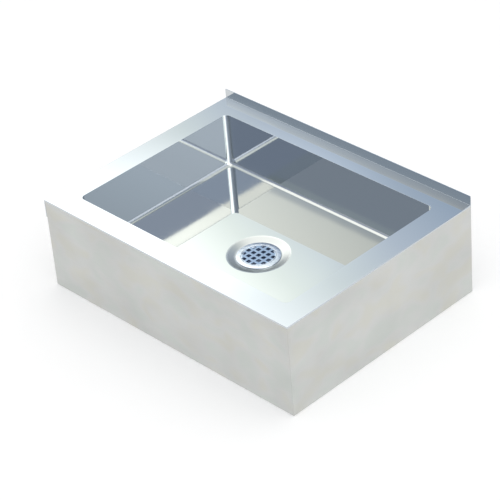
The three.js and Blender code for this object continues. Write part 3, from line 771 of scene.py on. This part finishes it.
class MOPSINK_OT_aprons(bpy.types.Operator):
    """Four aprons down to the floor, with turned-in feet, mitred where they meet"""

    bl_idname = "mop_sink.aprons"
    bl_label = "Aprons"

    def execute(self, context):
        s = sheets()
        t, foot = s.sheet, s.apron_foot
        left = APRON_LEFT - 0.2 * MM
        length, width = RIGHT - left, REAR - FRONT
        x, y = Vector((1, 0, 0)), Vector((0, 1, 0))
        # Each apron starts at a corner and runs along one way, with its foot turned into the other.
        aprons = {
            "front_apron": ((left, FRONT, 0), x * length, y),
            "rear_apron": ((left, REAR, 0), x * length, -y),
            "left_apron": ((left, FRONT, 0), y * width, x),
            "right_apron": ((RIGHT, FRONT, 0), y * width, -x),
        }
        for name, (corner, run, into) in aprons.items():
            # All but the rear one stand up to just under the rim.
            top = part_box(name)[1].z + (0.25 * MM if name != "rear_apron" else 0)
            section = [(0, top), (0, 0), (foot, 0), (foot, t), (t, t), (t, top)]
            start = Vector(corner)
            points = [start + into * depth + Vector((0, 0, z)) for depth, z in section]
            bm = section_run(points, {1: s.apron_bend, 4: s.apron_bend - t}, run)
            # The mitres: 45 degree planes through the corners, leaning away from the middle.
            for end, way in ((start, -1), (start + run, 1)):
                normal = (run.normalized() * way + into).normalized()
                trim(bm, end - normal * 0.02 * MM, normal)
            soften(bm, 0.15 * MM)
            finish_piece(bm, f"{name}_sheet", name, "satin_stainless")
        return {"FINISHED"}


class MOPSINK_OT_bracing(bpy.types.Operator):
    """Angles inside the corners and hat channels under the bowl"""

    bl_idname = "mop_sink.bracing"
    bl_label = "Angles and supports"

    def execute(self, context):
        s = sheets()
        t, w = s.sheet, s.angle_width
        plan = [(0, 0), (w, 0), (w, t), (t, t), (t, w), (0, w)]
        for name in ("front_left", "front_right", "rear_left", "rear_right"):
            name = f"corner_angle_{name}"
            low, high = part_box(name)
            x, right = (low.x, 1) if "left" in name else (high.x, -1)
            y, back = (low.y, 1) if "front" in name else (high.y, -1)
            points = [(x + right * dx, y + back * dy, low.z) for dx, dy in plan]
            bm = section_run(points, {3: 0.8 * MM}, (0, 0, high.z - low.z))
            soften(bm, 0.2 * MM)
            finish_piece(bm, f"{name}_bar", name, "mill_stainless")

        top = s.support_top / 2
        base = top + s.support_draft
        for name in ("bowl_support_left", "bowl_support_right"):
            low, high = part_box(name)
            middle = (low.x + high.x) / 2
            foot = (high.x - low.x) / 2
            half = [
                (top, high.z), (base, t), (foot, t), (foot, 0),
                (base - t, 0), (top - t, high.z - t),
            ]
            ring = half + [(-dx, z) for dx, z in reversed(half)]
            # Bends by their number in the ring, the same on both sides.
            bends = {0: 3 * MM, 1: 1.2 * MM, 4: 2.6 * MM, 5: 1.5 * MM}
            bends.update({len(ring) - 1 - i: r for i, r in list(bends.items())})
            points = [(middle + dx, low.y, z) for dx, z in ring]
            bm = section_run(points, bends, (0, high.y - low.y, 0))
            soften(bm, 0.2 * MM)
            finish_piece(bm, f"{name}_channel", name, "mill_stainless")
        return {"FINISHED"}


class MOPSINK_OT_pads(bpy.types.Operator):
    """Damping pads stuck under the bowl floor"""

    bl_idname = "mop_sink.pads"
    bl_label = "Damping pads"

    def execute(self, context):
        for name in ("sound_pad_left", "sound_pad_right"):
            low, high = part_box(name)
            bm = flat_sheet(low, high, low.z)
            bevel(bm, bm.verts[:], 8 * MM, 6)
            thicken(bm, (0, 0, high.z - low.z))
            soften(bm, 0.8 * MM, segments=3)
            finish_piece(bm, f"{name}_slab", name, "damping_pad")
        return {"FINISHED"}


# -------- drain


def thread(radius, low, high, pitch, depth=1 * MM):
    """(radius, z) points of a thread's ridges, drawn as closed rings, from low to high."""
    ridge = ((depth, 0.15), (0, 0.45), (0, 0.6), (depth, 0.9))
    points = []
    z = low
    while z + pitch <= high:
        points += [(radius - inset, z + share * pitch) for inset, share in ridge]
        z += pitch
    return points


def ring_section(bore, outer, low, high):
    """(radius, z) corners of a plain ring."""
    return [(bore, low), (outer, low), (outer, high), (bore, high)]


class MOPSINK_OT_drain(bpy.types.Operator):
    """Drain body with its crowned flange, strainer ledge, cup and threaded outlet"""

    bl_idname = "mop_sink.drain"
    bl_label = "Drain body"

    def execute(self, context):
        d = drain_sizes()
        flange = DRAIN_HIGH.x
        shoulder, cup = cup_radii()
        recess = shoulder - d.ledge
        bore = cup - d.wall
        top = STRAINER_HIGH.z
        ledge_top = STRAINER_LOW.z - SEAM
        cup_floor = ledge_top - d.cup_depth
        outlet_top = cup_floor - d.cup_fall
        outlet = d.tube + d.outlet_wall
        under = SEAL_HIGH.z + SEAM
        edge_top = under + d.flange_edge
        crown = []
        for i in range(1, CROWN_STEPS):
            share = i / CROWN_STEPS
            rise = sin(share * pi / 2) * (top - edge_top)
            crown.append((flange + (recess - flange) * share, edge_top + rise))
        # The flange's edge is rolled down round the seal, close to the bowl's seat.
        lip = SEAL_HIGH.x + 0.25 * MM
        seat = SEAL_LOW.z + 0.1 * MM
        rolled = [(lip, under), (lip, seat), (flange - 0.1 * MM, seat), (flange, under),
                  (flange - 0.5 * MM, edge_top + 0.02 * MM)]
        section = [(shoulder, under), *rolled, *crown,
                   (recess + 0.5 * MM, top), (recess, top - 0.5 * MM),
                   (recess, ledge_top), (bore, ledge_top), (bore, cup_floor),
                   (d.tube, outlet_top), (d.tube, DRAIN_LOW.z),
                   (outlet - 0.6 * MM, DRAIN_LOW.z)]
        section += thread(outlet, DRAIN_LOW.z, outlet_top - d.wall, d.thread_pitch)
        section += [(outlet - 1 * MM, outlet_top - d.wall), (cup - 1 * MM, cup_floor - d.wall)]
        section += thread(cup, cup_floor, ledge_top - 2 * d.ledge, d.thread_pitch)
        section += [(cup, ledge_top - d.ledge - 0.01 * MM), (shoulder, ledge_top - d.ledge)]
        bm = spun(section, 0.12 * MM, segments=2, steps=TURN_STEPS)
        finish_piece(bm, "drain_flange_and_cup", "drain_body", "drain_steel", sharp=50)
        return {"FINISHED"}


class MOPSINK_OT_strainer(bpy.types.Operator):
    """Lift-out plate with square holes on a grid without its corners"""

    bl_idname = "mop_sink.strainer"
    bl_label = "Strainer"

    def execute(self, context):
        d = drain_sizes()
        radius = STRAINER_HIGH.x
        field = radius - d.hole_border
        bm = bmesh.new()
        bmesh.ops.create_circle(bm, cap_ends=False, segments=TURN_STEPS, radius=radius)
        last = (d.hole_rows - 1) / 2
        places = [i - last for i in range(d.hole_rows)]
        for across, along in ((x, y) for y in places for x in places):
            if abs(across) == last and abs(along) == last:
                continue
            middle = Matrix.Translation((across * d.hole_pitch, along * d.hole_pitch, 0))
            hole = bmesh.ops.create_grid(
                bm, x_segments=1, y_segments=1, size=d.hole_size / 2, matrix=middle,
            )
            bevel(bm, hole["verts"], d.hole_corner, 4)
        sides = [e for e in bm.edges if e.calc_length() > d.hole_corner * 2]
        bmesh.ops.delete(bm, geom=bm.faces[:], context="FACES_ONLY")
        bmesh.ops.subdivide_edges(bm, edges=sides, cuts=8)
        # Holes at the rim end at the round field.
        for vert in bm.verts:
            if vert.co.length > field and abs(vert.co.length - radius) > TOUCHING:
                vert.co = vert.co.normalized() * field
        bmesh.ops.triangle_fill(bm, edges=bm.edges[:], use_beauty=True, normal=(0, 0, 1))
        bmesh.ops.translate(bm, vec=(0, 0, STRAINER_LOW.z), verts=bm.verts[:])
        thicken(bm, (0, 0, STRAINER_HIGH.z - STRAINER_LOW.z))
        bmesh.ops.recalc_face_normals(bm, faces=bm.faces[:])
        # The top edges are rounded by buffing.
        upper = STRAINER_HIGH.z - TOUCHING
        edges = [
            e for e in bm.edges if all(v.co.z > upper for v in e.verts)
            and e.calc_face_angle(0) > radians(60)
        ]
        bevel(bm, edges, 0.45 * MM, 3, "EDGES")
        finish_piece(
            bm, "strainer_plate", "strainer", "drain_steel", body=STRAINER,
            finish="strainer_plate",
        )
        return {"FINISHED"}


class MOPSINK_OT_seals(bpy.types.Operator):
    """Seal, gasket, friction washer and tube washer"""

    bl_idname = "mop_sink.seals"
    bl_label = "Seals and washers"

    def execute(self, context):
        shoulder, cup = (radius + SEAM for radius in cup_radii())
        rings = {
            "drain_seal": ("sealant", shoulder, 0.2),
            "drain_gasket": ("gasket_rubber", cup, 0.5),
            "friction_washer": ("fibre", cup, 0.15),
            "tailpiece_washer": ("gasket_rubber", drain_sizes().tube, 0.3),
        }
        for name, (slot, bore, rounding) in rings.items():
            low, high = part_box(name)
            bm = spun(ring_section(bore, high.x, low.z, high.z), rounding * MM)
            finish_piece(bm, f"{name}_ring", name, slot)
        return {"FINISHED"}


class MOPSINK_OT_nuts(bpy.types.Operator):
    """Lugged locknut under the bowl and six-sided coupling nut on the outlet"""

    bl_idname = "mop_sink.nuts"
    bl_label = "Drain nuts"

    def execute(self, context):
        low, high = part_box("drain_locknut")
        lugs, lug_reach, lug_width, lug_sink = 6, 6 * MM, 14 * MM, 2 * MM
        section = ring_section(cup_radii()[1] + SEAM, high.x - lug_reach, low.z, high.z)
        bm = spun(section, 0.8 * MM, steps=120)
        length = lug_reach + lug_sink
        middle = Vector((high.x - length / 2, 0, (low.z + high.z) / 2))
        lug = Matrix.LocRotScale(middle, None, Vector((length, lug_width, high.z - low.z - 0.6 * MM)))
        for i in range(lugs):
            turn = Matrix.Rotation(i * 2 * pi / lugs, 4, "Z")
            made = bmesh.ops.create_cube(bm, size=1, matrix=turn @ lug)["verts"]
            edges = list(dict.fromkeys(e for v in made for e in v.link_edges))
            bevel(bm, edges, 1.2 * MM, 3, "EDGES")
        finish_piece(bm, "locknut", "drain_locknut", "plated_brass")

        low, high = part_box("coupling_nut")
        tube = drain_sizes().tube + SEAM
        flat = high.x
        bore = flat - 4 * MM
        shoulder = low.z + 3 * MM
        section = [(tube, low.z), (flat, low.z), (flat, high.z), (bore, high.z),
                   (bore, shoulder), (tube, shoulder)]
        bm = spun(section, 0.3 * MM, segments=2)
        # The six flats: the round outside is pushed out to a hexagon.
        for vert in bm.verts:
            if hypot(vert.co.x, vert.co.y) > flat - 0.5 * MM:
                sixth = (atan2(vert.co.y, vert.co.x) + pi / 6) % (pi / 3) - pi / 6
                vert.co.x /= cos(sixth)
                vert.co.y /= cos(sixth)
        finish_piece(bm, "outlet_nut", "coupling_nut", "plated_brass")
        return {"FINISHED"}


class MOPSINK_OT_tube(bpy.types.Operator):
    """Waste tube with its flared upper end"""

    bl_idname = "mop_sink.tube"
    bl_label = "Waste tube"

    def execute(self, context):
        low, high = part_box("tailpiece")
        wall = 1 * MM
        outer = drain_sizes().tube
        bore = outer - wall
        under = high.z - wall
        section = [(bore, low.z), (outer, low.z), (outer, under), (high.x, under),
                   (high.x, high.z), (bore, high.z)]
        finish_piece(spun(section, 0.25 * MM), "waste_tube", "tailpiece", "drain_steel")
        return {"FINISHED"}


# -------- stage

AZIMUTH, ELEVATION, ROLL = radians(47.786), radians(34.183), radians(-5.102)
DISTANCE = 5.1613
TARGET = Vector((-0.0013, -0.026, 0.127))
FOCAL_PIXELS = 2096.4
IMAGE_PIXELS = 500
SENSOR = 36.0

LAMP_PLACE, LAMP_AIM = Vector((1.1, -0.2, 3.0)), Vector((0, 0, 0.1))
LAMP_SIDE = 3.0
LAMP_WATTS = 12

FLOOR_RADIUS = 14
FLOOR_GAP = 0.2 * MM  # keeps the floor clear of the feet


def place_camera():
    data = bpy.data.cameras.new("camera")
    data.sensor_width = SENSOR
    data.lens = FOCAL_PIXELS / IMAGE_PIXELS * SENSOR
    data.clip_end = 100
    camera = bpy.data.objects.new("camera", data)
    bpy.context.collection.objects.link(camera)
    place = Matrix.Translation(TARGET)
    for angle, axis in ((AZIMUTH, "Z"), (pi / 2 - ELEVATION, "X"), (ROLL, "Z")):
        place = place @ Matrix.Rotation(angle, 4, axis)
    camera.matrix_world = place @ Matrix.Translation((0, 0, DISTANCE))
    bpy.context.scene.camera = camera


def place_lamp():
    """One square lamp above the sink; the cards stand in for it in reflections."""
    data = bpy.data.lights.new("overhead", "AREA")
    data.shape = "RECTANGLE"
    data.size = data.size_y = LAMP_SIDE
    data.energy = LAMP_WATTS
    lamp = bpy.data.objects.new("overhead", data)
    bpy.context.collection.objects.link(lamp)
    aim = (LAMP_AIM - LAMP_PLACE).to_track_quat("-Z", "Y")
    lamp.matrix_world = Matrix.Translation(LAMP_PLACE) @ aim.to_matrix().to_4x4()
    lamp.visible_glossy = False


def seen_by(tree, *kinds):
    """1 for a ray of one of the given kinds, else 0."""
    rays = add(tree, "LightPath").outputs
    seen = rays[kinds[0]]
    for kind in kinds[1:]:
        seen = add(tree, "Math", (seen, rays[kind]), operation="MAXIMUM")
    return seen


def overhead_card(name, low, high, radiance, glow=None, lean=0.0):
    """A level card over the sink that only the steel's reflections show."""
    # A leaning card passes just under its neighbours.
    bm = flat_sheet(low, high, CARD_HEIGHT - (0.01 if lean else 0.0))
    near_right = max(bm.verts, key=lambda v: v.co.x - v.co.y)
    near_right.co.x += lean
    card = add_object(bm, name)
    material = bpy.data.materials.new(name)
    material.use_nodes = True
    tree = material.node_tree
    tree.nodes.remove(tree.nodes["Principled BSDF"])
    strength = max(radiance)
    tint = (*(c / strength for c in radiance), 1)
    light = add(tree, "Emission", (tint, strength))
    feed(tree, tree.nodes["Material Output"], {"Surface": light})
    if glow:
        feed(tree, light, glow(tree, add(tree, "TexCoord").outputs["Object"]))
    card.data.materials.append(material)
    card.visible_camera = card.visible_diffuse = card.visible_shadow = False


def fading_card(tree, at):
    """Brightest at one spot left of the sink, fading to pale blue grey at the rear right."""
    fall = add(tree, "VectorMath", (at, (0.2915, 0.91, 0.0)), operation="DOT_PRODUCT")
    fade = add(tree, "MapRange", (fall, 0.963, 4.963))
    tones = add(tree, "ValToRGB", (fade,), stops=(
        (0.0, (1.0, 1.0, 1.0)), (0.094, (0.71, 0.73, 0.725)),
        (0.1875, (0.478, 0.511, 0.509)), (0.281, (0.329, 0.366, 0.42)),
        (0.375, (0.225, 0.272, 0.34)), (0.75, (0.27, 0.31, 0.385)),
    ))
    away = add(tree, "VectorMath", (at, BRIGHT_SPOT), operation="DISTANCE")
    falls = [
        add(tree, "MapRange", (away, *ends), interpolation_type="SMOOTHSTEP")
        for ends in ((0.35, 0.85, 2.7, 2.1), (1.5, 2.6, 1.0, 0.74))
    ]
    return {"Color": tones, "Strength": add(tree, "Math", falls, operation="MULTIPLY")}


def changing(axis, start, end, first, last):
    """A card whose strength goes from first to last between two places on an axis."""
    def glow(tree, at):
        split = add(tree, "SeparateXYZ", (at,))
        ends = (split.outputs[axis], start, end, first, last)
        return {"Strength": add(tree, "MapRange", ends)}
    return glow


def edge_card(tree, at):
    """The overhead light's near edge, which dims to the rim of its cloth."""
    split = add(tree, "SeparateXYZ", (at,))
    fade = add(tree, "MapRange", (split.outputs["Y"], CLOTH_NEAR_END, CLOTH_NEAR))
    tones = add(tree, "ValToRGB", (fade,), stops=(
        (0.0, (0.49, 0.515, 0.56)), (0.14, (0.56, 0.57, 0.59)), (0.22, (0.85, 0.83, 0.79)),
        (1.0, (1.0, 0.96, 0.90)),
    ))
    return {"Color": tones, **changing("X", -3.944, -2.344, 2.19, 1.33)(tree, at)}


# What the mirror-like steel shows, seen from this camera: the overhead light's near edge in
# the rear wall and the upstand, its right edge in the left wall, its fading far side in the
# rim and the bowl floor, and the panel at the right in the upright corners.
CARD_HEIGHT = 3.027
BRIGHT_SPOT = (-3.19, 2.83, CARD_HEIGHT)
CLOTH_NEAR, CLOTH_NEAR_END = -2.535, -2.895  # where the light's cloth starts to dim, and ends
CLOTH_RIGHT, CLOTH_RIGHT_END = 2.79, 2.905
FRAME_NEAR, FRAME_RIGHT = -2.955, 3.161  # outer sides of the light's frame
PANEL_NEAR, PANEL_FAR = -2.13, 2.28
FAR = 9.0
CARDS = (
    ("overhead", (-10.0, CLOTH_NEAR), (CLOTH_RIGHT, FAR), (2.1, 2.1, 2.1), fading_card),
    ("overhead_near_edge", (-10.0, CLOTH_NEAR_END), (-2.2, CLOTH_NEAR), (1.75, 1.75, 1.75),
     edge_card),
    ("overhead_near_frame", (-2.2, CLOTH_NEAR_END), (CLOTH_RIGHT, CLOTH_NEAR), (0.6, 0.66, 0.78)),
    ("overhead_near_corner", (CLOTH_RIGHT, CLOTH_NEAR_END), (CLOTH_RIGHT_END, CLOTH_NEAR),
     (3.05, 2.78, 2.51)),
    ("overhead_right", (CLOTH_RIGHT, CLOTH_NEAR), (CLOTH_RIGHT_END, FAR), (2.7, 2.6, 2.43),
     changing("Y", 2.774, 3.294, 2.7, 2.0)),
    ("right_frame", (CLOTH_RIGHT_END, PANEL_FAR), (FRAME_RIGHT, FAR), (0.61, 0.67, 0.84)),
    ("front_frame_end", (CLOTH_RIGHT_END, CLOTH_NEAR_END), (FRAME_RIGHT, PANEL_NEAR),
     (1.0, 1.07, 1.32)),
    ("right_rear_wall", (FRAME_RIGHT, PANEL_FAR), (FAR, FAR), (0.88, 0.965, 1.12),
     changing("Y", 2.6, 3.05, 0.95, 1.12)),
    ("right_panel", (CLOTH_RIGHT_END, PANEL_NEAR), (FAR, PANEL_FAR), (3.1, 3.1, 3.1)),
    ("front_right_wall", (FRAME_RIGHT, -FAR), (FAR, PANEL_NEAR), (1.505, 1.53, 1.70),
     changing("Y", -3.0, -2.7, 1.84, 1.72)),
    ("front_frame", (-FAR, FRAME_NEAR), (2.96, CLOTH_NEAR_END), (0.54, 0.60, 0.68)),
    ("front_left_wall", (-FAR, -FAR), (1.5, FRAME_NEAR), (0.46, 0.51, 0.62)),
    ("front_wall", (1.5, -FAR), (2.96, FRAME_NEAR), (0.62, 0.68, 0.82)),
    ("front_corner_wall", (CLOTH_RIGHT_END, -FAR), (FRAME_RIGHT, CLOTH_NEAR_END),
     (0.62, 0.68, 0.88), None, 6.55),
)


class MOPSINK_OT_stage(bpy.types.Operator):
    """Plain pale floor, soft lamp, reflection cards, world and camera"""

    bl_idname = "mop_sink.stage"
    bl_label = "Stage"

    def execute(self, context):
        scene = context.scene
        scene.view_settings.view_transform = "Standard"
        white = (1, 1, 1, 1)
        bm = bmesh.new()
        bmesh.ops.create_circle(bm, cap_ends=True, segments=96, radius=FLOOR_RADIUS)
        bmesh.ops.translate(bm, vec=(0, 0, -FLOOR_GAP), verts=bm.verts[:])
        floor = add_object(bm, "studio_floor")
        pale = tuple(colours().floor)
        painted = new_material("painted floor", pale, 0.0, 0.9)
        tree = painted.node_tree
        # To the camera and in reflections the floor glows a little, to show as white.
        seen = seen_by(tree, "Is Camera Ray", "Is Glossy Ray")
        glossy = seen_by(tree, "Is Glossy Ray")
        lift = add(tree, "Math", (seen, 0.14), operation="MULTIPLY")
        # In the steel's reflections the sink's own shadow on the floor is weaker.
        feed(tree, tree.nodes["Principled BSDF"], {
            "Base Color": add(
                tree, "Mix", {"Factor": glossy, "A": pale, "B": (0.45, 0.45, 0.45, 1)},
                data_type="RGBA",
            ),
            "Emission Color": white,
            "Emission Strength": add(tree, "Math", (glossy, 0.42, lift), operation="MULTIPLY_ADD"),
        })
        floor.data.materials.append(painted)

        world = bpy.data.worlds.new("studio")
        world.use_nodes = True
        tree = world.node_tree
        seen = seen_by(tree, "Is Camera Ray", "Is Glossy Ray", "Is Transmission Ray")
        feed(tree, tree.nodes["Background"], {
            "Color": white,
            "Strength": add(tree, "MapRange", (seen, 0.0, 1.0, 0.9, 1.0)),
        })
        scene.world = world

        place_lamp()
        for card in CARDS:
            overhead_card(*card)
        place_camera()
        return {"FINISHED"}


# -------- panel and registration

PIECES = (
    MOPSINK_OT_rim, MOPSINK_OT_bowl, MOPSINK_OT_aprons, MOPSINK_OT_bracing, MOPSINK_OT_pads,
    MOPSINK_OT_drain, MOPSINK_OT_strainer, MOPSINK_OT_seals, MOPSINK_OT_nuts, MOPSINK_OT_tube,
    MOPSINK_OT_stage,
)


class MOPSINK_PT_panel(bpy.types.Panel):
    """Sizes, colours and the buttons that build each piece"""

    bl_label = "Mop Service Sink"
    bl_idname = "MOPSINK_PT_panel"
    bl_space_type = "VIEW_3D"
    bl_region_type = "UI"
    bl_category = "Mop Sink"

    def draw(self, context):
        layout = self.layout
        for group in (sheets(), bowl_sizes(), drain_sizes(), colours()):
            column = layout.column(align=True)
            for key in group.__annotations__:
                column.prop(group, key)
        for piece in PIECES:
            layout.operator(piece.bl_idname)


GROUPS = {
    "mop_sink_sheets": SheetSizes,
    "mop_sink_bowl": BowlSizes,
    "mop_sink_drain": DrainSizes,
    "mop_sink_colours": SinkColours,
}


def register():
    for cls in (*GROUPS.values(), *PIECES, MOPSINK_PT_panel):
        bpy.utils.register_class(cls)
    for key, cls in GROUPS.items():
        setattr(bpy.types.Scene, key, PointerProperty(type=cls))


def unregister():
    for key in GROUPS:
        delattr(bpy.types.Scene, key)
    for cls in reversed((*GROUPS.values(), *PIECES, MOPSINK_PT_panel)):
        bpy.utils.unregister_class(cls)


def main():
    register()
    for piece in PIECES:
        group, name = piece.bl_idname.split(".")
        getattr(getattr(bpy.ops, group), name)()


if __name__ == "__main__":
    main()
